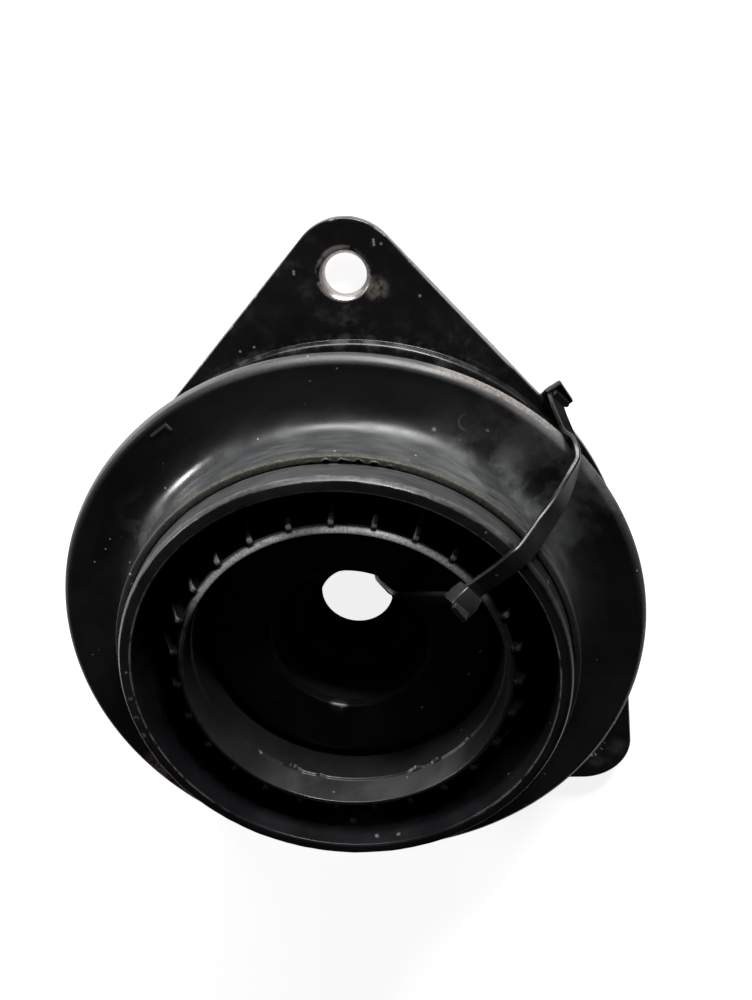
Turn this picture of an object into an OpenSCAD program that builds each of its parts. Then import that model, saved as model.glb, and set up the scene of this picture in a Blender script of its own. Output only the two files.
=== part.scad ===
// Strut mount: a bolt-on plate with a bonded rod bush, and a spring seat that turns on a thrust bearing.
// Origin on the rod axis at the nut seat, +Z towards the strut, +Y towards the upper ear.

/* [Mounting plate] */
// Distance from the rod axis to each ear hole
ear_pitch_r = 86.5; // [82:0.5:95]
// Radius of the rounded ear tips
ear_tip_r = 13.8; // [11:0.1:16]
// Angle from the upper ear clockwise to the right ear, seen from the strut
right_ear_spread = 130.3; // [115:0.1:140]
// Angle from the upper ear anticlockwise to the left ear, seen from the strut
left_ear_spread = 152; // [115:0.1:160]
// Diameter of the ear bolt holes
ear_hole_d = 10.4; // [8.4:0.1:12]
// Chamfer on the strut side of the ear holes
ear_hole_chamfer = 1.1; // [0.5:0.1:1.5]
// Outline radius of the plate between the ears
plate_edge_r = 71.9; // [71:0.1:78]
// Offset of that outline from the rod axis, to the right
plate_shift = 1.2; // [0:0.1:2]
// Sheet thickness of the plate
plate_t = 3; // [2:0.1:4]
// Radius of the raised centre disc
emboss_r = 69.8; // [62:0.1:71]
// Radial width of the step round the raised disc
emboss_run = 0.6; // [0.4:0.1:2]
// Distance from the step's top edge in to its underside
emboss_wall = 1.5; // [1:0.1:2.5]
// Height of the raised centre disc
emboss_h = 2; // [1.5:0.1:3]

/* [Bush] */
// Depth of the nut seat below the face that meets the car body
nut_recess = 8; // [6:0.5:12]
// Height of the cup above the raised disc
cup_rise = 27.5; // [22:0.5:29]
// Diameter of the hole in the cup's end
cup_hole_d = 41; // [36:0.5:46]
// Outer corner radius of the cup
cup_corner = 3.5; // [3.2:0.1:6]
// Inside bend radius between disc and cup
cup_bend = 1.5; // [1:0.1:2]
// Diameter of the rod hole
rod_bore_d = 19.6; // [14:0.1:22]
// Straight length of the rod hole
rod_bore_len = 4.5; // [3:0.1:6]
// Diameter of the rod hole's flared mouth
rod_flare_d = 27.2; // [24:0.1:30]
// Height of the core
core_h = 12; // [9:0.5:14]
// Wall of the core at its mouth
core_wall = 2.4; // [1.5:0.1:3]
// Diameter of the core's flange under the nut
core_flange_d = 48; // [40:0.5:52]
// Thickness of the core's flange
core_flange_t = 4; // [2:0.1:5]
// Distance that the rubber stays back from the core's mouth and the cup's hole
bush_setback = 2; // [1:0.1:3]
// Height of the retainer ring
retainer_h = 2; // [1.5:0.1:3]
// Radial width of the retainer ring
retainer_w = 5; // [3:0.1:7]

/* [Bearing] */
// Diameter of the balls
ball_d = 6; // [5:0.25:7]
// Number of balls
ball_count = 36; // [24:1:38]
// Radial width of the raceways
race_w = 9; // [8.5:0.1:11]
// Metal behind the bottom of a raceway
race_back = 1; // [0.8:0.1:2]
// Height of each raceway ring
race_h = 2.6; // [2:0.1:2.8]
// Radial width of the ball cage
cage_w = 7.6; // [7.2:0.1:8.2]
// Height of the ball cage
cage_h = 2.2; // [1.4:0.1:2.4]
// Floor thickness of the fixed bearing cap
cap_floor_t = 3; // [2:0.1:4]
// Inner wall of the bearing cap
cap_inner_wall = 1.2; // [1:0.1:2]
// Outer wall of the bearing cap
cap_outer_wall = 1.6; // [1:0.1:2.5]
// Radial width of the inner seal
inner_seal_w = 1.5; // [1.2:0.1:2]
// Radial width of the outer seal
outer_seal_w = 1.8; // [1.2:0.1:2.5]
// Height of the seals
seal_h = 2.4; // [1.8:0.1:3]

/* [Spring seat] */
// Diameter of the flange over its rubber rim
rim_d = 150; // [145:1:156]
// Rounding of the rubber rim's upper edge
rim_round = 1.6; // [0.4:0.1:2]
// Height of the rubber rim band
rim_band = 3.4; // [2.8:0.1:4]
// Height of the rim above the groove floor
rim_rise = 10; // [8:0.5:14]
// Depth of the spring trough below the rim
dish_depth = 1.8; // [1:0.1:2.5]
// Share of the way from the fillet to the rim that stays flat
dish_share = 0.225; // [0.1:0.005:0.4]
// Diameter of the rubber on the collar, which centres the spring
pilot_d = 113.8; // [110:0.1:115]
// Fillet radius between trough and collar
trough_fillet = 6.5; // [5:0.1:7.5]
// Rubber thickness
pad_t = 2; // [1.6:0.1:2.4]
// Height of the rubber's end above the rim
pad_rise = 14.4; // [13:0.1:18]
// Height of the collar's lip above the rim
lip_rise = 21.2; // [19:0.1:24]
// Wall of the collar
collar_wall = 3.7; // [2.5:0.1:4.5]
// How far the collar's outside leans in up to its lip
lip_lean = 0.6; // [0.3:0.1:1.5]
// Height of the lip's sloped outer edge
lip_fall = 0.3; // [0.2:0.1:1.4]
// Width of the lip's inner bevel
lip_bevel_w = 0.7; // [0.4:0.1:1]
// Height of the lip's inner bevel
lip_bevel_h = 0.4; // [0.2:0.1:0.6]
// Thickness of the plastic flange
flange_t = 2.4; // [2:0.1:3]
// Thickness of the groove floor
floor_t = 4; // [3:0.1:6]
// Outer diameter of the inner ring
ring_d = 82.6; // [80:0.1:84]
// Wall of the inner ring
ring_wall = 2.4; // [2:0.1:3]
// Radial width of the slope round the outside of the inner ring's top
ring_slope_w = 1.2; // [0.4:0.1:1.4]
// Height of that slope
ring_slope_h = 1; // [0.4:0.1:1.1]
// Chamfer inside the inner ring's top
ring_chamfer = 0.3; // [0.1:0.05:0.4]
// Height of the inner ring above the rim
ring_rise = 18.1; // [15:0.1:19]
// Distance from the inner ring's top to the shoulder inside it
ring_shoulder_drop = 8; // [5:0.1:12]
// Radial depth of that shoulder
ring_shoulder = 0.5; // [0.3:0.05:0.8]
// Number of ribs in the groove
rib_count = 27; // [18:1:32]
// Angle of the first rib
rib_phase = 91.5; // [0:0.5:120]
// Thickness of the ribs
rib_t = 1.3; // [1:0.1:2]
// Distance from the inner ring's top down to the ribs
rib_drop = 1.2; // [0.6:0.1:4]
// Height of the ribs where they meet the collar
rib_toe = 10; // [5:0.5:14]
// Number of gussets under the flange
gusset_count = 18; // [9:1:24]
// Thickness of the gussets
gusset_t = 1.6; // [1:0.1:2.5]
// Distance that the gussets stay back from the skirt's lower end and the flange's edge
gusset_inset = 3; // [2:0.5:5]
// Wall of the inner skirt
inner_skirt_t = 1.3; // [1:0.1:1.8]
// Wall of the outer skirt
outer_skirt_t = 1.8; // [1.4:0.1:3]

/* [Clearances] */
// Running gap between turning and fixed pieces
run_gap = 0.3; // [0.2:0.05:0.5]
// Axial gap between the bearing walls and what turns over them
axial_gap = 1; // [0.6:0.1:1.5]
// Gap between the cup and the inner ring round it
ring_gap = 1.7; // [1.2:0.1:2.5]
// Radial gap between the cup and the cap on it
cap_fit = 0.4; // [0.2:0.05:0.6]
// Bond line between rubber and what it is moulded to
bond = 0.05; // [0.02:0.01:0.1]
// Ball clearance in raceway and cage
ball_fit = 0.1; // [0.05:0.01:0.2]

/* [Hidden] */
$fn = 96;
arc_steps = 10;
cut = 1;
sink = 0.5;
graze = 0.05;

// Heights along the rod axis
tower_z = -nut_recess;
ear_z1 = tower_z + plate_t;
disc_z0 = tower_z + emboss_h;
disc_z1 = disc_z0 + plate_t;
cup_z1 = disc_z1 + cup_rise;
cup_in_z1 = cup_z1 - plate_t;
cup_wall_z0 = disc_z1 + cup_bend;
retainer_z1 = cup_wall_z0 + retainer_h;
cap_z1 = disc_z1 + cap_floor_t;
ball_r = ball_d / 2;
ball_z = cap_z1 + race_back + ball_r;
seat_z0 = ball_z + ball_r + race_back;
cap_wall_z1 = seat_z0 - axial_gap;
skirt_z0 = cap_z1 + axial_gap;
floor_z1 = seat_z0 + floor_t;
rim_z1 = floor_z1 + rim_rise;
rim_z0 = rim_z1 - rim_band;
dish_z = rim_z1 - dish_depth;
pad_z1 = rim_z1 + pad_rise;
lip_z1 = rim_z1 + lip_rise;
ring_z1 = rim_z1 + ring_rise;
shoulder_z = ring_z1 - ring_shoulder_drop;
rib_z1 = ring_z1 - rib_drop;
rib_toe_z = floor_z1 + rib_toe;

// Radii, from the cup outwards
ring_r = ring_d / 2;
ring_in_r = ring_r - ring_wall;
cup_r = ring_in_r - ring_gap;
cup_in_r = cup_r - plate_t;
inner_skirt_r = ring_in_r + inner_skirt_t;
cap_in_r0 = inner_skirt_r + inner_seal_w + run_gap;
cap_in_r1 = cap_in_r0 + cap_inner_wall;
race_r0 = cap_in_r1 + run_gap;
race_r1 = race_r0 + race_w;
ball_pitch_r = race_r0 + race_w / 2;
cap_out_r0 = race_r1 + run_gap;
cap_out_r1 = cap_out_r0 + cap_outer_wall;
outer_skirt_r0 = cap_out_r1 + run_gap + outer_seal_w;
outer_skirt_r1 = outer_skirt_r0 + outer_skirt_t;
pilot_r = pilot_d / 2;
collar_r = pilot_r - pad_t;
collar_in_r = collar_r - collar_wall;
trough_r = pilot_r + trough_fillet;
rim_r = rim_d / 2;
flange_r = rim_r - pad_t;
dish_r = trough_r + dish_share * (rim_r - trough_r);

// The rubber's dish from trough to rim, carried through to the plastic under it
dish_slope = dish_depth / (rim_r - rim_round - dish_r);
flange_top = dish_z - pad_t;
flange_edge_z = flange_top + dish_slope * (flange_r - dish_r);

// Core
bore_r = rod_bore_d / 2;
flare_r = rod_flare_d / 2;
core_r = flare_r + core_wall;
core_flange_r = core_flange_d / 2;
cup_hole_r = cup_hole_d / 2;

// Points on an arc about [r, z]
function arc(centre, radius, from, to) =
  [for (i = [0:arc_steps]) let (a = from + (to - from) * i / arc_steps)
    centre + radius * [cos(a), sin(a)]];

// Directions of the three ears
ear_angles = [90, 90 - right_ear_spread, 90 + left_ear_spread];

module at_ears()
  for (a = ear_angles) rotate(a) translate([ear_pitch_r, 0]) children();

// Flat arm whose sides run from the plate's disc to an ear's tip, a hair inside both outlines
module ear_arm(angle) {
  reach = ear_pitch_r * [cos(angle), sin(angle)] - [plate_shift, 0];
  span = norm(reach);
  lean = (plate_edge_r - ear_tip_r) / span;
  side = sqrt(1 - lean * lean);
  root = plate_edge_r - graze;
  tip = ear_tip_r - graze;
  rotate(atan2(reach.y, reach.x))
    polygon([root * [lean, side], [span, 0] + tip * [lean, side],
             [span, 0] + tip * [lean, -side], root * [lean, -side]]);
}

module plate_outline() {
  translate([plate_shift, 0]) {
    circle(plate_edge_r);
    for (a = ear_angles) ear_arm(a);
  }
  at_ears() circle(ear_tip_r);
}

// A ring turned from its cross-section, given as [radius, height] points
module turned(points) rotate_extrude() polygon(points);

// Radius of the raised disc's step at a depth below its top
function step_r(drop) = emboss_r + emboss_run * drop / emboss_h;

// Upper side of the pressing: raised disc, bend and cup
function pressing_top() = concat(
  [[0, ear_z1 - plate_t / 2], [step_r(emboss_h + sink), ear_z1 - plate_t / 2],
   [step_r(emboss_h + sink), ear_z1 - sink], [emboss_r, disc_z1]],
  arc([cup_r + cup_bend, disc_z1 + cup_bend], cup_bend, 270, 180),
  arc([cup_r - cup_corner, cup_z1 - cup_corner], cup_corner, 0, 90),
  [[0, cup_z1]]);

// Lower side of the pressing, one sheet thickness behind it
function pressing_under() = concat(
  [[0, tower_z - cut], [step_r(emboss_h + cut) - emboss_wall, tower_z - cut],
   [emboss_r - emboss_wall, disc_z0]],
  arc([cup_r + cup_bend, disc_z1 + cup_bend], cup_bend + plate_t, 270, 180),
  arc([cup_r - cup_corner, cup_z1 - cup_corner], cup_corner - plate_t, 0, 90),
  [[0, cup_in_z1]]);

module mounting_plate() color("#1c1c1f") difference() {
  union() {
    translate([0, 0, tower_z]) linear_extrude(plate_t) plate_outline();
    turned(pressing_top());
  }
  turned(pressing_under());
  translate([0, 0, cup_in_z1 - cut]) cylinder(r = cup_hole_r, h = plate_t + 2 * cut);
  at_ears() translate([0, 0, tower_z - cut]) cylinder(d = ear_hole_d, h = plate_t + 2 * cut);
  at_ears() translate([0, 0, ear_z1 - ear_hole_chamfer])
    cylinder(d1 = ear_hole_d, d2 = ear_hole_d + 2 * (ear_hole_chamfer + cut), h = ear_hole_chamfer + cut);
}

module rubber_bush() color("#17171a")
  turned([[core_flange_r + bond, retainer_z1 + bond], [cup_in_r - bond, retainer_z1 + bond],
          [cup_in_r - bond, cup_z1 - cup_corner], [cup_r - cup_corner, cup_in_z1 - bond],
          [cup_hole_r + bush_setback, cup_in_z1 - bond], [core_r + bush_setback, core_h - bush_setback],
          [core_r + bond, core_h - bush_setback], [core_r + bond, core_flange_t + bond],
          [core_flange_r + bond, core_flange_t + bond]]);

module rod_core() color("#3a3836")
  turned([[bore_r, 0], [core_flange_r, 0], [core_flange_r, core_flange_t], [core_r, core_flange_t],
          [core_r, core_h], [flare_r, core_h], [bore_r, rod_bore_len]]);

module retainer_ring() color("#2a2a2c")
  turned([[cup_in_r - retainer_w, cup_wall_z0], [cup_in_r - bond, cup_wall_z0],
          [cup_in_r - bond, retainer_z1], [cup_in_r - retainer_w, retainer_z1]]);

module bearing_cap() color("#202022")
  turned([[cup_r + cap_fit, cap_z1], [cup_r + cap_fit, disc_z1 + cup_bend + cap_fit],
          [cup_r + cap_fit + cup_bend, disc_z1], [cap_out_r1, disc_z1], [cap_out_r1, cap_wall_z1],
          [cap_out_r0, cap_wall_z1], [cap_out_r0, cap_z1], [cap_in_r1, cap_z1], [cap_in_r1, cap_wall_z1],
          [cap_in_r0, cap_wall_z1], [cap_in_r0, cap_z1]]);

// Raceway ring with the ball groove turned into one face
module race(z0) rotate_extrude() difference() {
  translate([race_r0, z0]) square([race_w, race_h]);
  translate([ball_pitch_r, ball_z]) circle(ball_r + ball_fit);
}

module upper_race() color("#b9bcc0") race(cap_z1);

module lower_race() color("#b9bcc0") race(seat_z0 - race_h);

module at_balls()
  for (i = [0:ball_count - 1]) rotate(360 * i / ball_count) translate([ball_pitch_r, 0, ball_z]) children();

module bearing_balls() color("#d6d8da") at_balls() sphere(ball_r);

module ball_cage() color("#e4ddc8") difference() {
  translate([0, 0, ball_z - cage_h / 2]) rotate_extrude()
    translate([ball_pitch_r - cage_w / 2, 0]) square([cage_w, cage_h]);
  at_balls() cylinder(r = ball_r + ball_fit, h = cage_h + 2 * cut, center = true);
}

// Cross-section of the seat: inner skirt, floor, outer skirt, flange, collar, groove and inner ring
function seat_section() = concat(
  [[ring_in_r, skirt_z0], [inner_skirt_r, skirt_z0], [inner_skirt_r, seat_z0],
   [outer_skirt_r0, seat_z0], [outer_skirt_r0, skirt_z0], [outer_skirt_r1, skirt_z0],
   [outer_skirt_r1, flange_top - flange_t], [dish_r, flange_top - flange_t],
   [flange_r, flange_edge_z - flange_t], [flange_r, flange_edge_z], [dish_r, flange_top]],
  arc([trough_r, dish_z + trough_fillet], trough_fillet + pad_t, 270, 180),
  [[collar_r, pad_z1], [collar_r - lip_lean, lip_z1 - lip_fall], [collar_in_r + lip_bevel_w, lip_z1],
   [collar_in_r, lip_z1 - lip_bevel_h], [collar_in_r, floor_z1], [ring_r, floor_z1],
   [ring_r, ring_z1 - ring_slope_h], [ring_r - ring_slope_w, ring_z1],
   [ring_in_r + ring_shoulder + ring_chamfer, ring_z1], [ring_in_r + ring_shoulder, ring_z1 - ring_chamfer],
   [ring_in_r + ring_shoulder, shoulder_z], [ring_in_r, shoulder_z - ring_shoulder]]);

// Upright web on a radius, drawn as [radius, height] points
module web(angle, thickness, points)
  rotate([90, 0, angle]) linear_extrude(thickness, center = true) polygon(points);

module spring_seat() color("#1e1f21") {
  turned(seat_section());
  for (i = [0:rib_count - 1])
    web(rib_phase + 360 * i / rib_count, rib_t,
        [[ring_r - sink, floor_z1 - sink], [collar_in_r + sink, floor_z1 - sink],
         [collar_in_r + sink, rib_toe_z], [ring_r + sink, rib_z1], [ring_r - sink, rib_z1]]);
  for (i = [0:gusset_count - 1])
    web(360 * i / gusset_count, gusset_t,
        [[outer_skirt_r1 - sink, skirt_z0 + gusset_inset],
         [flange_r - gusset_inset, flange_top - flange_t + sink],
         [outer_skirt_r1 - sink, flange_top - flange_t + sink]]);
}

module spring_pad() color("#232426")
  turned(concat(
    [[flange_r + bond, rim_z0], [rim_r, rim_z0], [rim_r, rim_z1 - rim_round], [rim_r - rim_round, rim_z1],
     [dish_r, dish_z]],
    arc([trough_r, dish_z + trough_fillet], trough_fillet, 270, 180),
    [[pilot_r, pad_z1], [collar_r + bond, pad_z1]],
    arc([trough_r, dish_z + trough_fillet], trough_fillet + pad_t - bond, 180, 270),
    [[dish_r, flange_top + bond], [flange_r + bond, flange_edge_z + bond]]));

module outer_seal() color("#141416")
  turned([[outer_skirt_r0 - bond, skirt_z0], [outer_skirt_r0 - bond, skirt_z0 + seal_h],
          [outer_skirt_r0 - outer_seal_w / 2, skirt_z0 + seal_h],
          [cap_out_r1 + run_gap, skirt_z0 + seal_h / 4], [cap_out_r1 + run_gap, skirt_z0]]);

module inner_seal() color("#141416")
  turned([[inner_skirt_r + bond, skirt_z0], [cap_in_r0 - run_gap, skirt_z0],
          [cap_in_r0 - run_gap, skirt_z0 + seal_h / 4],
          [inner_skirt_r + inner_seal_w / 2, skirt_z0 + seal_h],
          [inner_skirt_r + bond, skirt_z0 + seal_h]]);

mounting_plate();
rubber_bush();
rod_core();
retainer_ring();
bearing_cap();
upper_race();
bearing_balls();
ball_cage();
lower_race();
spring_seat();
spring_pad();
outer_seal();
inner_seal();
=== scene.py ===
import math

import bmesh
import bpy
from mathutils import Matrix, Vector, noise


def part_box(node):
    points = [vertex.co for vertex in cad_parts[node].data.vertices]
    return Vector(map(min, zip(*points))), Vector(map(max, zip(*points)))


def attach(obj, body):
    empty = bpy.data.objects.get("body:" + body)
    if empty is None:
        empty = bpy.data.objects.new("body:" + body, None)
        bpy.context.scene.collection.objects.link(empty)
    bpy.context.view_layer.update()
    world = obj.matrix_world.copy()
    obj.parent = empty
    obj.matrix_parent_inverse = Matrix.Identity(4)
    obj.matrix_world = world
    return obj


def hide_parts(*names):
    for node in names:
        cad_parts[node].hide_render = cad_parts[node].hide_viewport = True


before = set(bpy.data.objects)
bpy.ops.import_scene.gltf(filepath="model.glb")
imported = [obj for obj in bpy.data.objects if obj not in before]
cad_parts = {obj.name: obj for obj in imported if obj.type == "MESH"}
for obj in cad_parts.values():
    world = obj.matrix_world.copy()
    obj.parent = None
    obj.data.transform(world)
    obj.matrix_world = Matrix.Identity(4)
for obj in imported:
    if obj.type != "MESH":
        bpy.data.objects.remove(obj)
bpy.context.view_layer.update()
scene = bpy.context.scene

MM = 0.001
TURN = 2 * math.pi


# Sizes in millimetres: overall ones from the frame, the rest as in the part's source

def node_box(node):
    low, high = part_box(node)
    return low / MM, high / MM


pad_low, pad_high = node_box("spring_pad")
seat_low, seat_high = node_box("spring_seat")
plate_low, plate_high = node_box("mounting_plate")

# Rubber of the spring seat
BOND = 0.05
RUBBER = 2.0
RIM_BAND = 3.4
RIM_ROUND = 1.6
DISH_DEPTH = 1.8
DISH_RUN = 9
FILLET = 6.5
PILOT_R = 56.9
RIM_R = pad_high.x
RIM_Z1 = pad_low.z + DISH_DEPTH + RUBBER - BOND
RIM_Z0 = RIM_Z1 - RIM_BAND
DISH_Z = RIM_Z1 - DISH_DEPTH
DISH_R = RIM_R - DISH_RUN
DISH_SLOPE = DISH_DEPTH / (RIM_R - RIM_ROUND - DISH_R)
PAD_Z1 = pad_high.z
TROUGH_R = PILOT_R + FILLET

# Plastic of the spring seat
FLANGE_T = 2.4
FLANGE_R = RIM_R - RUBBER
FLANGE_TOP = DISH_Z - RUBBER
FLANGE_EDGE_Z = FLANGE_TOP + DISH_SLOPE * (FLANGE_R - DISH_R)
COLLAR_WALL = 3.7
COLLAR_R = PILOT_R - RUBBER
COLLAR_IN_R = COLLAR_R - COLLAR_WALL
LIP_Z1 = seat_high.z
SKIRT_Z0 = seat_low.z
BEARING_ROOM = 7
FLOOR_T = 4
SEAT_Z0 = SKIRT_Z0 + BEARING_ROOM
FLOOR_Z1 = SEAT_Z0 + FLOOR_T
OUT_SKIRT_WALL = 1.8
OUT_SKIRT_R0 = 56.5
OUT_SKIRT_R1 = OUT_SKIRT_R0 + OUT_SKIRT_WALL
RING_WALL = 2.4
RING_R = 41.3
RING_IN_R = RING_R - RING_WALL
IN_SKIRT_WALL = 1.3
IN_SKIRT_R = RING_IN_R + IN_SKIRT_WALL
RING_RISE = 18.1
RING_Z1 = RIM_Z1 + RING_RISE
SHOULDER = 0.5
SHOULDER_DROP = 8
SHOULDER_Z = RING_Z1 - SHOULDER_DROP

# Ribs in the groove and gussets under the flange
RIBS = 27
RIB_PHASE = math.radians(91.5)
RIB_T = 1.3
RIB_DROP = 1.2
RIB_TOE = 10
RIB_Z1 = RING_Z1 - RIB_DROP
RIB_TOE_Z = FLOOR_Z1 + RIB_TOE
RIB_TIP_Z = RING_Z1 - 0.3
GUSSETS = 18
GUSSET_T = 1.6
GUSSET_INSET = 3
SINK = 0.5

# Mounting plate
TOWER_Z = plate_low.z
PLATE_T = 3.0
EAR_Z1 = TOWER_Z + PLATE_T
EMBOSS_R = 69.8
EMBOSS_RUN = 0.6
EMBOSS_WALL = 1.5
EMBOSS_H = 2.0
DISC_Z0 = TOWER_Z + EMBOSS_H
DISC_Z1 = DISC_Z0 + PLATE_T
CUP_Z1 = plate_high.z
CUP_R = 37.2
CUP_HOLE_R = 20.5
CUP_CORNER = 3.5
CUP_BEND = 1.5
PLATE_R = 71.9
PLATE_SHIFT = 1.2
TIP_R = 13.8
EAR_R = plate_high.y - TIP_R
RIGHT_EAR_SPREAD = 130.3
LEFT_EAR_SPREAD = 152
EAR_ANGLES = [math.radians(a) for a in (90, 90 - RIGHT_EAR_SPREAD, 90 + LEFT_EAR_SPREAD)]
EAR_HOLE_R = 5.2
EAR_CHAMFER = 1.1

# Fineness of the meshes
ROUND_STEPS = 900
SEAT_STEPS = 760
HOLE_STEPS = 96
SHARP = 38


# Mesh helpers

def arc(cr, cz, radius, start, stop, steps):
    """Points of an arc about (cr, cz), angles in degrees, each with no rounding."""
    made = []
    for i in range(steps + 1):
        a = math.radians(start + (stop - start) * i / steps)
        made.append((cr + radius * math.cos(a), cz + radius * math.sin(a), 0))
    return made


def rounded(points, steps=4, most=0.48):
    """Loop of (r, z, wear) from (r, z, rounding) corners, each rounded by a parabola that takes
    at most a share of its two edges. Wear is 1 along outward corners and 0 elsewhere."""
    made = []
    n = len(points)
    turn = sum(points[i - 1][0] * points[i][1] - points[i][0] * points[i - 1][1] for i in range(n))
    for i, (r, z, rounding) in enumerate(points):
        here = Vector((r, z))
        if not rounding:
            made.append((r, z, 0.0))
            continue
        before = Vector(points[i - 1][:2]) - here
        after = Vector(points[(i + 1) % n][:2]) - here
        a = here + before.normalized() * min(rounding, most * before.length)
        b = here + after.normalized() * min(rounding, most * after.length)
        bends_out = (before.y * after.x - before.x * after.y) * turn > 0
        for k in range(steps + 1):
            t = k / steps
            p = a * (1 - t) ** 2 + here * (2 * t * (1 - t)) + b * t ** 2
            made.append((p.x, p.y, 1.0 if bends_out and 0 < k < steps else 0.0))
    return made


def mesh_object(name, verts, faces, sharp=SHARP):
    """Object from vertices of (x, y, z, wear) in millimetres."""
    mesh = bpy.data.meshes.new(name)
    mesh.from_pydata([tuple(c * MM for c in v[:3]) for v in verts], [], faces)
    worn = mesh.attributes.new("worn", "FLOAT", "POINT")
    worn.data.foreach_set("value", [v[3] if len(v) > 3 else 0.0 for v in verts])
    bm = bmesh.new()
    bm.from_mesh(mesh)
    bmesh.ops.recalc_face_normals(bm, faces=bm.faces)
    bm.to_mesh(mesh)
    bm.free()
    smooth(mesh, sharp)
    obj = bpy.data.objects.new(name, mesh)
    scene.collection.objects.link(obj)
    return obj


def smooth(mesh, sharp):
    mesh.polygons.foreach_set("use_smooth", [True] * len(mesh.polygons))
    mesh.set_sharp_from_angle(angle=math.radians(sharp))
    mesh.update()


def quads(rows, size, ring=True, loop=True):
    """Faces between neighbouring rows of vertices. A ring joins the last row to the first,
    and a loop the end of each row to its start."""
    faces = []
    for i in range(rows if ring else rows - 1):
        j = (i + 1) % rows
        for k in range(size if loop else size - 1):
            m = (k + 1) % size
            faces.append((i * size + k, j * size + k, j * size + m, i * size + m))
    return faces


def ring_shape(section, count):
    """Vertices and faces of a ring with the loop section(angle) of (r, z, wear)."""
    verts = []
    for i in range(count):
        a = TURN * i / count
        verts += [(r * math.cos(a), r * math.sin(a), z, worn) for r, z, worn in section(a)]
    return verts, quads(count, len(verts) // count)


def shape_of(bm, wear):
    """Vertices, each with its wear, and faces of a bmesh, which is freed."""
    bm.verts.index_update()
    verts = [(*v.co, w) for v, w in zip(bm.verts, wear)]
    faces = [tuple(v.index for v in f.verts) for f in bm.faces]
    bm.free()
    return verts, faces


def web_shape(points, thickness, angle, bevel=0.25, rubbed=None):
    """Upright web on a radius from (r, z) points, with bevelled edges. Its top is marked along one edge,
    given by its two ends, most at the second, for rubbing and for painted glints."""
    bm = bmesh.new()
    ring = [bm.verts.new((r, -thickness / 2, z)) for r, z in points]
    face = bm.faces.new(ring)
    out = bmesh.ops.extrude_face_region(bm, geom=[face])
    moved = [g for g in out["geom"] if isinstance(g, bmesh.types.BMVert)]
    bmesh.ops.translate(bm, verts=moved, vec=(0, thickness, 0))
    bmesh.ops.bevel(bm, geom=bm.edges[:], offset=bevel, segments=2, profile=0.5, affect="EDGES")
    wear = [0.0] * len(bm.verts)
    if rubbed:
        (r0, z0), (r1, z1) = rubbed
        for i, v in enumerate(bm.verts):
            if v.co.z > z0 + (z1 - z0) * (v.co.x - r0) / (r1 - r0) - 0.2:
                wear[i] = 1.0 if v.co.x < r1 + 1.6 else 0.5
    bmesh.ops.rotate(bm, verts=bm.verts, cent=(0, 0, 0), matrix=Matrix.Rotation(angle, 3, "Z"))
    return shape_of(bm, wear)


def joined(shapes):
    verts, faces = [], []
    for v, f in shapes:
        base = len(verts)
        verts += v
        faces += [tuple(base + i for i in face) for face in f]
    return verts, faces


def wrapped(angle):
    return (angle + math.pi) % TURN - math.pi


def wave_noise(a, frequency, seed):
    """Smooth noise round the ring, about -1 to 1."""
    return noise.noise(Vector((math.cos(a) * frequency, math.sin(a) * frequency, seed)))


def bell(a, centre, half):
    """1 at centre degrees, falling smoothly to 0 at half degrees from it."""
    d = abs(math.degrees(wrapped(a - math.radians(centre)))) / half
    return 0.5 + 0.5 * math.cos(math.pi * d) if d < 1 else 0.0


# Spring pad

def flash(a):
    """How far the rubber's torn end edge stands off the collar: a row of teeth near the upper ear."""
    zone = bell(a, 86, 13) ** 0.4
    wave = 0.5 + 0.5 * math.sin(a * 99 + 1.6 * wave_noise(a, 14, 3.1))
    tear = max(0.0, wave_noise(a, 70, 8.4))
    return zone * (1.2 * wave ** 1.4 + 0.5 * tear) + (0.1 + 0.5 * bell(a, 85, 40)) * tear


def pad_section(a):
    lift = flash(a)
    sway = 0.12 * wave_noise(a, 3, 1.7)
    outer = [(FLANGE_R + BOND, RIM_Z0, 0.2), (RIM_R, RIM_Z0, 0.7), (RIM_R, RIM_Z1 - RIM_ROUND, 0.9),
             (RIM_R - RIM_ROUND, RIM_Z1 + 0.5 * sway, 0.8), (DISH_R, DISH_Z, 3.0)]
    outer += arc(TROUGH_R, DISH_Z + FILLET, FILLET, 270, 180, 14)
    outer += [(PILOT_R, PAD_Z1 - 0.1, 0.55), (COLLAR_R + 1.1 + 0.4 * lift, PAD_Z1 - 0.1, 0.2),
              (COLLAR_R + 0.45 + 0.8 * lift, PAD_Z1 - 0.2 + 0.5 * lift, 0.12),
              (COLLAR_R + BOND + 0.5 * lift, PAD_Z1 - 0.6, 0.1)]
    inner = arc(TROUGH_R, DISH_Z + FILLET, FILLET + RUBBER - BOND, 180, 270, 6)
    inner += [(DISH_R, FLANGE_TOP + BOND, 0), (FLANGE_R + BOND, FLANGE_EDGE_Z + BOND, 0)]
    return rounded(outer + inner)


MARK_SINK = 0.2
MARK_H = 0.32
MARK_WEAR = 2.0
MARK_BARS = ((125.2, 129.0, 71.2, 71.8), (124.9, 125.4, 69.7, 71.8))
BOX_FACES = ((0, 1, 2, 3), (4, 5, 6, 7), (0, 1, 5, 4), (1, 2, 6, 5), (2, 3, 7, 6), (3, 0, 4, 7))


def mark_bar(a0, a1, r0, r1):
    """Low bar on the dish between two angles and two radii."""
    verts = []
    for rise in (-MARK_SINK, MARK_H):
        for a, r in ((a0, r0), (a1, r0), (a1, r1), (a0, r1)):
            t = math.radians(a)
            z = DISH_Z + DISH_SLOPE * (r - DISH_R)
            verts.append((r * math.cos(t), r * math.sin(t), z + rise, MARK_WEAR))
    return verts, BOX_FACES


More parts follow.
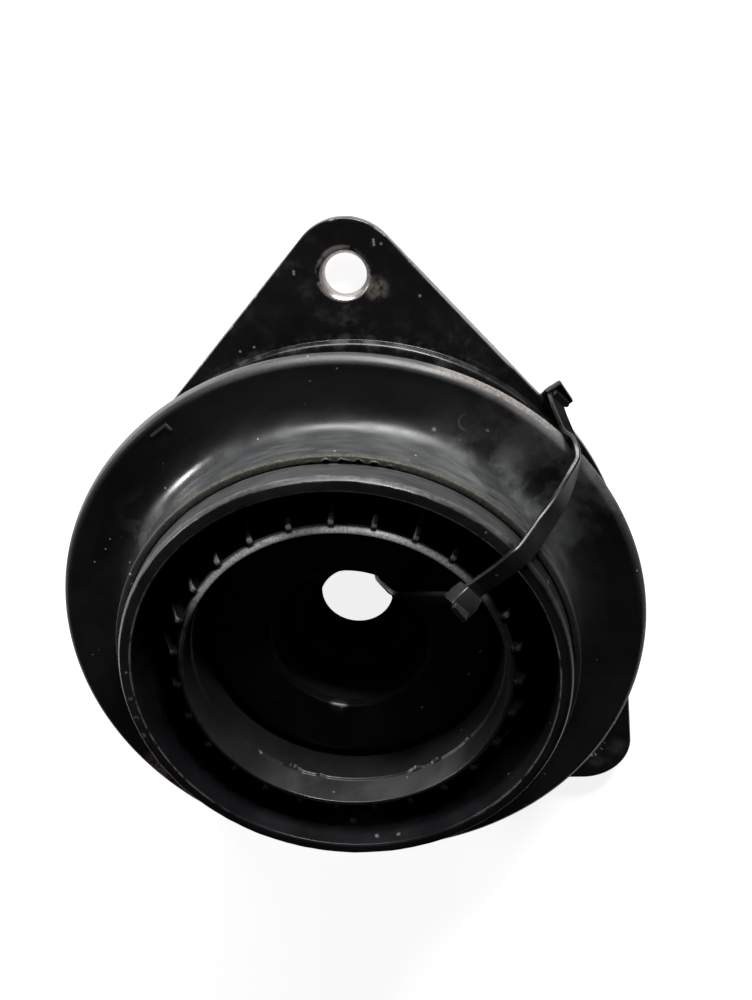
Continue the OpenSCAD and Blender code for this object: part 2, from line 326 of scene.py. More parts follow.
# The small raised L on the dish marks where the spring's end lies
index_mark = [mark_bar(*bar) for bar in MARK_BARS]
pad = mesh_object("rubber_pad", *joined([ring_shape(pad_section, ROUND_STEPS)] + index_mark))


# Spring seat

# Chips of the ring's shoulder: angle and half width in degrees, depth
CHIPS = ((-114, 4.5, 1.6), (-103, 2.0, 0.6), (-65, 4.0, 1.8), (-56, 3.0, 1.4), (-40, 2.2, 0.8),
         (-130, 2.5, 0.7))


def chip(a):
    """Depth of the chipped edge of the ring's inner shoulder."""
    depth = 0.12 * abs(wave_noise(a, 40, 5.2))
    for centre, half, deep in CHIPS:
        depth += deep * bell(a, centre, half) * (0.6 + 0.6 * abs(wave_noise(a, 55, centre)))
    return depth


def seat_section(a):
    shoulder = SHOULDER_Z - chip(a)
    lip = 0.1 * wave_noise(a, 20, 2.6)
    flange_under = FLANGE_TOP - FLANGE_T
    points = [(RING_IN_R, SKIRT_Z0, 0.3), (IN_SKIRT_R, SKIRT_Z0, 0.3), (IN_SKIRT_R, SEAT_Z0, 0.2),
              (OUT_SKIRT_R0, SEAT_Z0, 0.2), (OUT_SKIRT_R0, SKIRT_Z0, 0.3), (OUT_SKIRT_R1, SKIRT_Z0, 0.5),
              (OUT_SKIRT_R1, flange_under, 0.8), (DISH_R, flange_under, 1.0),
              (FLANGE_R, FLANGE_EDGE_Z - FLANGE_T, 0.4), (FLANGE_R, FLANGE_EDGE_Z, 0.3),
              (DISH_R, FLANGE_TOP, 0)]
    points += arc(TROUGH_R, DISH_Z + FILLET, FILLET + RUBBER, 270, 180, 8)
    points += [(COLLAR_R, PAD_Z1, 0.3), (COLLAR_R - 0.25, LIP_Z1 - 1.4, 0.4),
               (COLLAR_R - 0.95, LIP_Z1 - 0.15 + lip, 0.25), (COLLAR_IN_R + 0.45, LIP_Z1 - 0.02, 0.2),
               (COLLAR_IN_R, LIP_Z1 - 0.4, 0.2), (COLLAR_IN_R, FLOOR_Z1, 0.8), (RING_R, FLOOR_Z1, 0.8),
               (RING_R, RING_Z1 - 1.3, 0.5), (RING_R - 1.1, RING_Z1, 0.6),
               (RING_IN_R + SHOULDER, RING_Z1 - 0.1, 0.3), (RING_IN_R + SHOULDER, shoulder, 0.15),
               (RING_IN_R, shoulder - SHOULDER, 0.25)]
    return rounded(points)


rib_top = [(COLLAR_IN_R + SINK, RIB_TOE_Z), (RING_R + 2.2, RIB_Z1 - 1.4)]
rib_points = [(RING_R - SINK, FLOOR_Z1 - SINK), (COLLAR_IN_R + SINK, FLOOR_Z1 - SINK), *rib_top,
              (RING_R + 1.3, RIB_TIP_Z), (RING_R - SINK, RIB_TIP_Z)]
gusset_root = OUT_SKIRT_R1 - SINK
gusset_top = FLANGE_TOP - FLANGE_T + SINK
gusset_points = [(gusset_root, SKIRT_Z0 + GUSSET_INSET), (FLANGE_R - GUSSET_INSET, gusset_top),
                 (gusset_root, gusset_top)]
shapes = [ring_shape(seat_section, SEAT_STEPS)]
shapes += [web_shape(rib_points, RIB_T, RIB_PHASE + TURN * i / RIBS, rubbed=rib_top) for i in range(RIBS)]
shapes += [web_shape(gusset_points, GUSSET_T, TURN * i / GUSSETS) for i in range(GUSSETS)]
seat = mesh_object("moulded_seat", *joined(shapes))


# Mounting plate

def round_reach(way, centre, radius):
    """How far out a ray from the rod axis leaves a circle, or 0 where it misses it."""
    along = centre.dot(way)
    square = radius ** 2 - centre.length_squared + along ** 2
    return along + math.sqrt(square) if square > 0 else 0.0


def ear_reach(a):
    """Radius of the plate's outline at an angle: disc, straight arms and round ear tips."""
    way = Vector((math.cos(a), math.sin(a)))
    hub = Vector((PLATE_SHIFT, 0))
    reach = round_reach(way, hub, PLATE_R)
    for ear in EAR_ANGLES:
        tip = Vector((EAR_R * math.cos(ear), EAR_R * math.sin(ear)))
        reach = max(reach, round_reach(way, tip, TIP_R))
        arm = tip - hub
        lean = math.acos((PLATE_R - TIP_R) / arm.length)
        for turn in (lean, -lean):
            out = Matrix.Rotation(turn, 2) @ arm.normalized()
            if way.dot(out) <= 0:
                continue
            start = hub + out * PLATE_R
            side = tip + out * TIP_R - start
            here = start.dot(out) / way.dot(out)
            if 0 <= (way * here - start).dot(side) <= side.length_squared:
                reach = max(reach, here)
    return reach


EAR_ROWS = 12


def plate_section(a):
    edge = ear_reach(a)
    step = EMBOSS_R + EMBOSS_RUN
    brim = edge - step
    near = step + min(0.25, 0.3 * brim)
    ear = step + max(brim - 1.3, 0.6 * brim)
    flat = [near + (ear - near) * i / EAR_ROWS for i in range(EAR_ROWS, -1, -1)]
    top = [(edge, EAR_Z1, 0.6)] + [(r, EAR_Z1, 0) for r in flat]
    top += [(step, EAR_Z1, 0.2), (EMBOSS_R, DISC_Z1, 0.7)]
    top += arc(CUP_R + CUP_BEND, DISC_Z1 + CUP_BEND, CUP_BEND, 270, 180, 6)
    top += arc(CUP_R - CUP_CORNER, CUP_Z1 - CUP_CORNER, CUP_CORNER, 0, 90, 8)
    top += [(CUP_HOLE_R, CUP_Z1, 0.8), (CUP_HOLE_R, CUP_Z1 - PLATE_T, 0.4)]
    under = arc(CUP_R - CUP_CORNER, CUP_Z1 - CUP_CORNER, CUP_CORNER - PLATE_T, 90, 0, 4)
    under += arc(CUP_R + CUP_BEND, DISC_Z1 + CUP_BEND, CUP_BEND + PLATE_T, 180, 270, 8)
    under += [(EMBOSS_R - EMBOSS_WALL, DISC_Z0, 0.4), (step - EMBOSS_WALL, TOWER_Z, 0.6)]
    under += [(r, TOWER_Z, 0) for r in reversed(flat)] + [(edge, TOWER_Z, 0.35)]
    return rounded(top + under)


def hole_cutter(x, y):
    """Bolt hole with the worn, rounded chamfer on the strut side."""
    z = EAR_Z1
    mouth = EAR_HOLE_R + EAR_CHAMFER
    profile = [(EAR_HOLE_R, TOWER_Z - 2), (EAR_HOLE_R, z - EAR_CHAMFER - 0.5),
               (EAR_HOLE_R + 0.12, z - EAR_CHAMFER - 0.1), (EAR_HOLE_R + EAR_CHAMFER * 0.75, z - 0.28),
               (mouth, z - 0.06), (mouth + 0.4, z + 0.02), (mouth + 0.6, z + 2)]
    verts = []
    for i in range(HOLE_STEPS):
        t = TURN * i / HOLE_STEPS
        verts += [(x + r * math.cos(t), y + r * math.sin(t), h) for r, h in profile]
    size = len(profile)
    faces = quads(HOLE_STEPS, size, loop=False)
    faces.append(tuple(i * size for i in range(HOLE_STEPS)))
    faces.append(tuple(i * size + size - 1 for i in range(HOLE_STEPS)))
    return verts, faces


def cut(target, tool):
    """Takes the tool out of the target and removes it."""
    step = target.modifiers.new("cut", "BOOLEAN")
    step.operation = "DIFFERENCE"
    step.solver = "EXACT"
    step.object = tool
    bpy.context.view_layer.update()
    done = bpy.data.meshes.new_from_object(target.evaluated_get(bpy.context.evaluated_depsgraph_get()))
    target.modifiers.clear()
    old = target.data
    target.data = done
    bpy.data.meshes.remove(old)
    bpy.data.objects.remove(tool)


plate = mesh_object("pressed_plate", *ring_shape(plate_section, ROUND_STEPS))
holes = [hole_cutter(EAR_R * math.cos(a), EAR_R * math.sin(a)) for a in EAR_ANGLES]
cut(plate, mesh_object("hole_tool", *joined(holes)))
plate.data.name = plate.name
smooth(plate.data, SHARP)


# Cable ties

STRAP_W = 4.8
STRAP_T = 1.3
STRAP_PITCH = 0.5
TOOTH_H = 0.32
TOOTH_EVERY = 3
TIE_SHARP = 32
EDGE_WEAR = 1.0
HEAD_WEAR = 0.6
HEAD_LEAN = math.radians(12)

# How far the straps lean, in degrees, and where the lean sets in and is full
SEAT_LEAN = 6
RIM_LEAN = 42
RIM_LEAN_R = (61, 73)
UPPER_Z = (18.5, 25.5)
BOWL_LEAN = 10
BOWL_Z = (12, 32)


def at(r, z, azimuth):
    t = math.radians(azimuth)
    return Vector((r * math.cos(t), r * math.sin(t), z))


def curve_point(p0, p1, p2, p3, t):
    """Point between p1 and p2 on the smooth curve through four points."""
    bend = (2 * p0 - 5 * p1 + 4 * p2 - p3) * t * t
    swing = (3 * p1 - p0 - 3 * p2 + p3) * t ** 3
    return 0.5 * (2 * p1 + (p2 - p0) * t + bend + swing)


def smooth_path(points, pitch=STRAP_PITCH, steps=24):
    """Evenly spaced points on a curve through the given ones."""
    fine = []
    ends = [points[0] * 2 - points[1]] + points + [points[-1] * 2 - points[-2]]
    for i in range(1, len(ends) - 2):
        fine += [curve_point(*ends[i - 1:i + 3], k / steps) for k in range(steps)]
    fine.append(points[-1])
    made, spare = [fine[0]], 0.0
    for a, b in zip(fine, fine[1:]):
        leg = (b - a).length
        while spare + leg >= pitch:
            a = a + (b - a).normalized() * (pitch - spare)
            made.append(a)
            leg = (b - a).length
            spare = 0.0
        spare += leg
    if (made[-1] - fine[-1]).length > 0.2 * pitch:
        made.append(fine[-1])
    return made


def strap_shape(points, width_way, lean):
    """Flat strap with rounded edges and the ladder of teeth on its inner side, along the points.
    Where lean(point) degrees isn't 0 the strap stands up on its clockwise edge."""
    path = smooth_path(points)
    w, t = STRAP_W / 2, STRAP_T / 2
    profile = [(-w, -t * 0.5), (-w, t * 0.5), (-w + 0.3, t), (w - 0.3, t), (w, t * 0.5), (w, -t * 0.5),
               (w - 0.3, -t), (w - 0.9, -t), (w - 1.0, -t), (-w + 1.0, -t), (-w + 0.9, -t), (-w + 0.3, -t)]
    shiny_edge = (4, 5)
    ladder = (8, 9)
    verts = []
    for i, p in enumerate(path):
        along = (path[min(i + 1, len(path) - 1)] - path[max(i - 1, 0)]).normalized()
        side = width_way(p)
        flat_side = (side - along * side.dot(along)).normalized()
        flat_up = flat_side.cross(along).normalized()
        twist = math.radians(lean(p))
        p = p + flat_up * (w * math.sin(twist))
        side = flat_side * math.cos(twist) + flat_up * math.sin(twist)
        up = flat_up * math.cos(twist) - flat_side * math.sin(twist)
        tooth = TOOTH_H if i % TOOTH_EVERY == 0 else 0.0
        for k, (u, v) in enumerate(profile):
            if k in ladder:
                v += tooth
            verts.append((*(p + side * u + up * v), EDGE_WEAR if k in shiny_edge else 0.0))
    size = len(profile)
    faces = quads(len(path), size, ring=False)
    faces.append(tuple(range(size)))
    faces.append(tuple((len(path) - 1) * size + k for k in range(size)))
    return verts, faces


def across(p):
    """Direction of the straps' width at a point."""
    return Vector((-p.y, p.x, 0)).normalized()


def head_shape(centre, along, side, size):
    """Tie head: a tapered block with rounded edges and a slot for the tail on its end."""
    up = along.cross(side).normalized()
    length, width, height = size
    bm = bmesh.new()
    corners = []
    for u, shrink in ((-0.5, 0.86), (0.0, 1.0), (0.5, 0.94)):
        ring = []
        for s, h in ((-0.5, -0.5), (0.5, -0.5), (0.5, 0.5), (-0.5, 0.5)):
            place = along * (u * length) + side * (s * width * shrink) + up * (h * height * shrink)
            ring.append(bm.verts.new(centre + place))
        corners.append(ring)
    for a, b in zip(corners, corners[1:]):
        for k in range(4):
            bm.faces.new((a[k], a[(k + 1) % 4], b[(k + 1) % 4], b[k]))
    first = bm.faces.new(corners[0])
    last = bm.faces.new(corners[-1])
    bmesh.ops.recalc_face_normals(bm, faces=bm.faces)
    for face in (first, last):
        bmesh.ops.inset_region(bm, faces=[face], thickness=0.24 * height, depth=0)
        bmesh.ops.translate(bm, verts=face.verts, vec=face.normal * -0.9)
    bevelled = [e for e in bm.edges if e.is_manifold and e.calc_face_angle(0) > 0.5]
    bmesh.ops.bevel(bm, geom=bevelled, offset=0.35, segments=3, profile=0.5, affect="EDGES")
    return shape_of(bm, [HEAD_WEAR] * len(bm.verts))


def share_between(value, start, full):
    """0 up to the start, 1 from full on."""
    return min(1.0, max(0.0, (value - start) / (full - start)))


def lean_over(p):
    """The strap lies flat over the seat, stands up on one edge towards the rim and is flat again below it."""
    out = share_between(math.hypot(p.x, p.y), *RIM_LEAN_R)
    high = share_between(p.z, *UPPER_Z)
    return (SEAT_LEAN + RIM_LEAN * out ** 1.3) * high * high * (3 - 2 * high)


def lean_in(p):
    """The strap leans a little where it hangs into the bowl."""
    return BOWL_LEAN * share_between(p.z, *BOWL_Z)


def turned_side(head, along):
    """Direction of a head's width, leaning as the strap does."""
    side = across(head)
    up = side.cross(along).normalized()
    return side * math.cos(HEAD_LEAN) + up * math.sin(HEAD_LEAN)


# Each path is a row of places: radius, height and degrees round the rod axis
# Tie over the seat: its head stands above the ring, its tail ends in the other tie's head at the plate
SEAT_HEAD_SIZE = (5.4, 6.4, 4.4)
seat_head = at(38.4, 45.2, 42)
seat_head_way = (at(35.9, 46.4, 42) - at(40.9, 44.0, 42)).normalized()
over_seat = [at(*place) for place in (
    (75.5, -3.6, 46.5), (75.5, 3, 46.4), (75.6, 10, 46.0), (75.75, 17, 45.6), (75.75, 20, 45.3),
    (75.2, 22.6, 44.5), (73, 25.6, 43.15), (70, 28.7, 42.35), (67, 31.8, 41.7), (63, 35.8, 41.25),
    (56, 42.9, 41.45), (53.4, 44.4, 41.9), (49.5, 44.7, 41.9), (44, 44.2, 41.8), (41.0, 44.0, 41.85),
    (38.6, 45.0, 41.8), (37.2, 47.0, 41.7), (36.4, 49.6, 41.6))]

# Tie through the rod bore: from the first head down the bowl, out under the plate and up to its own head
BORE_HEAD_SIZE = (4.4, 6.2, 4.4)
bore_head = at(76.7, -5.0, 46.2)
bore_head_way = (at(76.9, 0, 46.2) - at(76.6, -8, 46.2)).normalized()
through_bore = [at(*place) for place in (
    (38.6, 44.4, 42), (36.4, 42.4, 42.2), (33.2, 39.1, 42.7), (28.9, 34.7, 43.4), (24, 29.7, 44.2),
    (19.4, 24.9, 44.5), (15.5, 18, 42.4), (12.4, 12, 40), (10.1, 7.4, 38.2), (8.75, 3, 37.4),
    (8.7, -2, 37.4), (9.2, -5.0, 38.2), (11.4, -6.75, 39.6), (16, -7.0, 41.4), (30, -7.0, 43.2),
    (50, -7.1, 44.4), (64, -7.5, 45.4), (70, -8.75, 45.9), (73.2, -8.75, 46.1), (75.6, -8.3, 46.2),
    (76.7, -6.8, 46.2), (76.8, -3.5, 46.2), (76.9, -0.6, 46.2))]


def tie(name, points, lean, head, head_way, head_size):
    strap = strap_shape(points, across, lean)
    block = head_shape(head, head_way, turned_side(head, head_way), head_size)
    return mesh_object(name, *joined([strap, block]), sharp=TIE_SHARP)


tie_seat = tie("tie_over_seat", over_seat, lean_over, seat_head, seat_head_way, SEAT_HEAD_SIZE)
tie_bore = tie("tie_through_bore", through_bore, lean_in, bore_head, bore_head_way, BORE_HEAD_SIZE)


# Materials: places and reaches in millimetres, noise scales in cells per metre

class Finish:
    """Procedural material round one Principled shader. Its x, y and z are the place in millimetres,
    and r is the distance from the rod axis."""

    def __init__(self, name):
        self.material = bpy.data.materials.new(name)
        self.material.use_nodes = True
        self.tree = self.material.node_tree
        self.tree.nodes.clear()
        self.shader = self.node("ShaderNodeBsdfPrincipled")
        out = self.node("ShaderNodeOutputMaterial")
        self.join(self.shader.outputs["BSDF"], out.inputs["Surface"])
        self.place = self.node("ShaderNodeTexCoord").outputs["Object"]
        scaled = self.node("ShaderNodeVectorMath", operation="SCALE")
        self.join(self.place, scaled.inputs[0])
        scaled.inputs["Scale"].default_value = 1 / MM
        self.point = scaled.outputs["Vector"]
        split = self.node("ShaderNodeSeparateXYZ")
        self.join(self.point, split.inputs[0])
        self.x, self.y, self.z = split.outputs
        squares = self.math("ADD", self.times(self.x, self.x), self.times(self.y, self.y))
        self.r = self.math("SQRT", squares)

    def node(self, kind, **settings):
        made = self.tree.nodes.new(kind)
        for key, value in settings.items():
            setattr(made, key, value)
        return made

    def join(self, source, target):
        self.tree.links.new(source, target)

    def put(self, socket, value):
        if isinstance(value, bpy.types.NodeSocket):
            self.join(value, socket)
        else:
            socket.default_value = value

    def math(self, operation, a, b=0.0, clamp=False):
        made = self.node("ShaderNodeMath", operation=operation, use_clamp=clamp)
        self.put(made.inputs[0], a)
        self.put(made.inputs[1], b)
        return made.outputs[0]

    def times(self, first, *others):
        """Product of all the values."""
        for value in others:
            first = self.math("MULTIPLY", first, value)
        return first

    def most(self, first, *others):
        """Largest of the values."""
        for value in others:
            first = self.math("MAXIMUM", first, value)
        return first

    def plus(self, first, *others):
        """Sum of the values, kept between 0 and 1."""
        for value in others:
            first = self.math("ADD", first, value, clamp=True)
        return first

    def ramp(self, value, low, high, to_low=0.0, to_high=1.0):
        made = self.node("ShaderNodeMapRange", interpolation_type="SMOOTHSTEP")
        self.put(made.inputs["Value"], value)
        limits = (("From Min", low), ("From Max", high), ("To Min", to_low), ("To Max", to_high))
        for socket, limit in limits:
            made.inputs[socket].default_value = limit
        return made.outputs["Result"]

    def down_to(self, share, least):
        """1 where the share is 0, and down to the least where it is 1."""
        return self.ramp(share, 0.0, 1.0, 1.0, least)

    def noise(self, scale, detail=5, rough=0.6, where=None, warp=0.0):
        made = self.node("ShaderNodeTexNoise")
        self.join(where or self.place, made.inputs["Vector"])
        levels = (("Scale", scale), ("Detail", detail), ("Roughness", rough), ("Distortion", warp))
        for socket, level in levels:
            made.inputs[socket].default_value = level
        return made.outputs["Fac"]

    def cells(self, scale, distance="EUCLIDEAN"):
        """Cells of a Voronoi pattern: a random value for each, and the distance from its middle."""
        made = self.node("ShaderNodeTexVoronoi", distance=distance)
        self.join(self.place, made.inputs["Vector"])
        made.inputs["Scale"].default_value = scale
        pick = self.node("ShaderNodeSeparateColor")
        self.join(made.outputs["Color"], pick.inputs[0])
        return pick.outputs[0], made.outputs["Distance"]

    def specks(self, scale, share, size=0.16):
        """Small scattered dots: a share of the cells each have one."""
        value, distance = self.cells(scale)
        chosen = self.math("GREATER_THAN", value, 1 - share)
        return self.times(chosen, self.ramp(distance, size, size * 0.5))

    def round_way(self, around, up):
        """Coordinates for streaks that run round the rod axis."""
        made = self.node("ShaderNodeCombineXYZ")
        self.put(made.inputs[0], self.times(self.math("DIVIDE", self.x, self.r), around))
        self.put(made.inputs[1], self.times(self.math("DIVIDE", self.y, self.r), around))
        self.put(made.inputs[2], self.math("ADD", self.times(self.r, up), self.times(self.z, up * 0.8)))
        return made.outputs[0]

    def spot(self, centre, reach, soft=0.6):
        """1 near a point, 0 beyond reach."""
        made = self.node("ShaderNodeVectorMath", operation="DISTANCE")
        self.join(self.point, made.inputs[0])
        made.inputs[1].default_value = centre
        return self.ramp(made.outputs["Value"], reach, reach * (1 - soft))

    def facing_up(self):
        made = self.node("ShaderNodeNewGeometry")
        split = self.node("ShaderNodeSeparateXYZ")
        self.join(made.outputs["Normal"], split.inputs[0])
        return split.outputs[2]

    def worn_edge(self):
        made = self.node("ShaderNodeAttribute", attribute_name="worn")
        return made.outputs["Fac"]

    def mix(self, share, a, b):
        made = self.node("ShaderNodeMix", data_type="RGBA")
        self.put(made.inputs["Factor"], share)
        self.put(made.inputs[6], a)
        self.put(made.inputs[7], b)
        return made.outputs[2]

    def lay(self, colour, top, *shares):
        """Colour with another laid over it, as thick as the product of the shares."""
        return self.mix(self.times(*shares), colour, top)

    def mottled(self, pattern, dark, light):
        """Base colour that wanders between two with a noise pattern."""
        return self.mix(self.ramp(pattern, 0.35, 0.7), rgb(*dark), rgb(*light))

    def bump(self, layers):
        """Layers of (height, distance in millimetres, strength)."""
        normal = None
        for height, distance, strength in layers:
            made = self.node("ShaderNodeBump")
            made.inputs["Strength"].default_value = strength
            made.inputs["Distance"].default_value = distance * MM
            self.join(height, made.inputs["Height"])
            if normal:
                self.join(normal, made.inputs["Normal"])
            normal = made.outputs["Normal"]
        self.join(normal, self.shader.inputs["Normal"])

    def done(self, colour, rough, metallic=0.0, specular=None):
        self.put(self.shader.inputs["Base Color"], colour)
        self.put(self.shader.inputs["Roughness"], rough)
        self.put(self.shader.inputs["Metallic"], metallic)
        if specular is not None:
            self.put(self.shader.inputs["Specular IOR Level"], specular)
        return self.material


def rgb(*c):
    return (*c, 1.0)


DUST = rgb(0.22, 0.22, 0.217)
TAN = rgb(0.25, 0.22, 0.185)
GREY_SMEAR = rgb(0.24, 0.25, 0.24)
CHALK = rgb(0.42, 0.42, 0.41)
BARE_STEEL_AND_GLINT = rgb(0.42, 0.39, 0.37)
SCRATCH = rgb(0.5, 0.5, 0.5)
GLOSS = 0.5


# Plate paint

EAR_SCRATCHES = ((7.2, 95.0), (7.25, 94.4), (7.3, 93.8), (-12.5, 87.7), (-12.5, 87.1),
                 (-23.9, 68.7), (-27.6, 67.6))


def ear_dirt(f, colour, grain):
    """Smudges, dust and scratches on the plate's ears."""
    smudge = f.spot((7.6, 83.2, EAR_Z1), 3.9, 0.7)
    colour = f.lay(colour, TAN, smudge, f.ramp(f.noise(420, 6, 0.7), 0.30, 0.62), 0.55)
    band = f.times(f.ramp(f.r, 72.4, 71.6), f.ramp(f.y, 58, 66))
    colour = f.lay(colour, DUST, band, f.ramp(grain, 0.45, 0.68), 0.14)
    below_hole = f.spot((0, 76, EAR_Z1), 12, 0.9)
    colour = f.lay(colour, TAN, below_hole, f.ramp(f.noise(160, 7, 0.65), 0.48, 0.68), 0.16)
    right_ear = f.most(f.spot((75.8, -57.6, EAR_Z1), 4.5, 0.9), f.spot((70.2, -63.2, EAR_Z1), 3.5, 0.9))
    colour = f.lay(colour, DUST, right_ear, f.ramp(grain, 0.35, 0.65, 0.05, 0.16))
    for x, y in EAR_SCRATCHES:
        colour = f.lay(colour, SCRATCH, f.spot((x, y, EAR_Z1), 0.45, 0.7), 0.45)
    return colour


def bare_metal_and_glint(f, glint):
    """Where the paint is worn off: outer edges and a washer's ring on the upper ear. Partly painted light: a
    glint in the bowl and the whole outer edge on the right are painted as worn-through steel for highlights,
    and the ring is painted less worn on its right as shade.
    """
    outer = f.most(f.ramp(f.r, 74.5, 75.5), glint)
    # Painted reflection: past x 12 to 25 mm the outer edge is worn through all along, for the light the
    # plate's right cut edges reflect; elsewhere it wears through in patches.
    patchy_and_lit_edge = f.most(f.ramp(f.noise(210, 6), 0.54, 0.62), f.ramp(f.x, 12, 25), glint)
    edge = f.times(f.ramp(f.worn_edge(), 0.3, 0.9), outer, patchy_and_lit_edge)
    washer = f.spot((-0.45, EAR_R + 0.45, EAR_Z1), EAR_HOLE_R + 2.0, 0.12)
    rings = f.times(washer, f.ramp(f.noise(240, 6, 0.7), 0.38, 0.60, 0.0, 0.9))
    rings = f.most(rings, f.spot((0, EAR_R, EAR_Z1 - 0.6), EAR_HOLE_R + 1.25, 0.05))
    # Painted shade: on its right, which lies in shade, the ring is painted less worn.
    shaded_right_side = f.times(f.ramp(f.x, 1.5, 4.5), f.ramp(f.y, 81.5, 83.5))
    rings = f.times(rings, f.math("SUBTRACT", 1.0, f.times(shaded_right_side, 0.8)))
    return f.most(f.times(edge, 0.7), rings)


def plate_paint():
    """Satin black paint, dusty, duller in the bowl and painted darker there as shade."""
    f = Finish("plate_paint_worn")
    broad = f.noise(45, 6)
    fine = f.noise(900, 4)
    grain = f.noise(260, 5)
    colour = f.mottled(broad, (0.0045, 0.0043, 0.0051), (0.0088, 0.0084, 0.0096))
    film = f.times(f.ramp(grain, 0.48, 0.8), f.ramp(broad, 0.4, 0.75))
    colour = f.lay(colour, DUST, film, 0.14)
    # Painted shade: inside the bowl the paint is darkened for the shade that lies in the cup.
    bowl = f.times(f.ramp(f.r, 39, 37.5), f.ramp(f.z, 1, 4))
    painted_bowl_shade = f.mix(f.ramp(broad, 0.4, 0.65), rgb(0.0028, 0.0025, 0.0023), rgb(0.0062, 0.0055, 0.005))
    colour = f.mix(bowl, colour, painted_bowl_shade)
    colour = ear_dirt(f, colour, grain)
    colour = f.lay(colour, rgb(0.42, 0.40, 0.37), f.specks(330, 0.05), 0.45)
    # Painted highlight: a glint spot on the edge of the bowl's hole, painted as worn-through steel and
    # glossier.
    glint = f.spot((-3.8, -20.4, CUP_Z1), 3.2, 0.7)
    bare_and_glint = bare_metal_and_glint(f, glint)
    colour = f.mix(bare_and_glint, colour, BARE_STEEL_AND_GLINT)
    rough = f.plus(f.ramp(grain, 0.3, 0.75, 0.24, 0.38), f.times(film, 0.2), f.times(bowl, 0.25))
    gloss = f.math("ADD", f.times(bowl, -0.4), f.times(glint, 0.5))
    scuffs = f.ramp(f.noise(70, 8, 0.75, warp=1.2), 0.62, 0.72)
    f.bump([(fine, 0.05, 0.25), (f.noise(120, 4), 0.12, 0.25), (scuffs, 0.03, 0.3)])
    return f.done(colour, rough, f.times(bare_and_glint, 0.7), f.plus(gloss, GLOSS))


# Seat plastic

WALL_MARKS = (((-0.6, -51.2, 34.3), 1.6), ((6.4, -50.8, 40.0), 1.0), ((12.1, -49.8, 40.3), 0.8))
LIP_MARKS = (((-52.6, -4.7, LIP_Z1), 1.0), ((-51.8, -10.8, LIP_Z1), 1.1), ((-50.8, -16.1, LIP_Z1), 1.0))


def lip_film(f, streak, upright):
    """Film of dust on the lip's outer face, with a ragged upper edge, thinner below and to the right."""
    lip_side = f.times(upright, f.ramp(f.r, 52.5, 53.5), f.ramp(streak, 0.3, 0.75, 0.5, 1.0))
    ragged = f.math("ADD", f.z, f.ramp(f.noise(520, 5, 0.7), 0.35, 0.7, 0.0, 1.6))
    left_side = f.times(f.ramp(f.x, -30, -45), f.ramp(f.y, -30, -5))
    thick = f.most(f.ramp(f.y, -20, 20, 0.25, 1.0), left_side)
    return f.times(lip_side, f.ramp(ragged, LIP_Z1 - 0.1, LIP_Z1 - 0.7), thick, f.ramp(f.x, 36, 44, 1.0, 0.2))


def lip_line(f):
    """Thin light line along the lip's inner edge."""
    inner_edge = f.ramp(f.r, COLLAR_IN_R + 0.52, COLLAR_IN_R + 0.42)
    line = f.times(inner_edge, f.ramp(f.z, LIP_Z1 - 0.35, LIP_Z1 - 0.2))
    broken = f.ramp(f.noise(330, 4), 0.36, 0.52)
    return f.times(line, broken, f.ramp(f.y, -10, 20, 0.3, 1.0), f.ramp(f.y, -46, -30))


def ring_dust_and_painted_light(f, colour, upright, broad, grit):
    """Dust inside the ring, above its shoulder and along its far rim, partly painted light: above the
    shoulder it is laid only where the wall faces the light, and the far rim's light grey stands in for its
    highlight.
    """
    inside = f.times(upright, f.ramp(f.r, 40.6, 40.1))
    colour = f.lay(colour, DUST, inside, 0.03)
    # Painted light: the band above the shoulder is dusted only on the -y side, where light falls on the inner
    # wall, so it reads lit.
    upper = f.times(inside, f.ramp(f.z, SHOULDER_Z - 0.4, SHOULDER_Z + 0.1))
    facing = f.times(f.ramp(f.y, -24, -33), f.ramp(f.x, -26, -12))
    colour = f.lay(colour, DUST, upper, facing, f.ramp(broad, 0.35, 0.6, 0.05, 0.17))
    # Dust and painted highlight: a light grey band on the top of the ring's far side.
    rim = f.times(f.ramp(f.z, RING_Z1 - 1.5, RING_Z1 - 1.2), f.ramp(f.r, 41.2, 40.8), f.ramp(f.r, 39.2, 39.4))
    far = f.times(f.ramp(f.y, 16, 26), f.ramp(f.x, 32, 12, 0.22, 1.0))
    thin = f.down_to(f.spot((-8, 40.3, RING_Z1), 9, 0.9), 0.45)
    return f.lay(colour, rgb(0.64, 0.64, 0.63), rim, far, thin, f.ramp(grit, 0.36, 0.62, 0.45, 1.0))


def rib_wear_and_glints(f, colour):
    """Light rib ends at the ring, painted as glints, and rubbed edges, both mostly at the far left."""
    rubbed = f.ramp(f.worn_edge(), 0.3, 0.95)
    by_ring = f.times(f.ramp(f.r, 43.8, 43.3), f.ramp(f.r, 41.1, 41.4))
    # Painted highlight: the rib tops by the ring are painted near white for their glints.
    rib_end_glint = f.times(by_ring, f.ramp(f.z, RIB_Z1 - 2.2, RIB_Z1 - 1.6))
    far_left = f.times(f.ramp(f.x, 12, 30, 1.0, 0.4), f.ramp(f.y, 5, 28, 0.0, 0.42))
    colour = f.lay(colour, rgb(0.75, 0.75, 0.74), rubbed, rib_end_glint, far_left)
    worn = f.times(rubbed, f.ramp(f.noise(240, 5), 0.40, 0.60))
    far_left = f.times(f.ramp(f.y, -10, 25), f.ramp(f.x, 15, 35, 1.0, 0.2))
    return f.lay(colour, rgb(0.165, 0.165, 0.165), worn, far_left, 0.35)


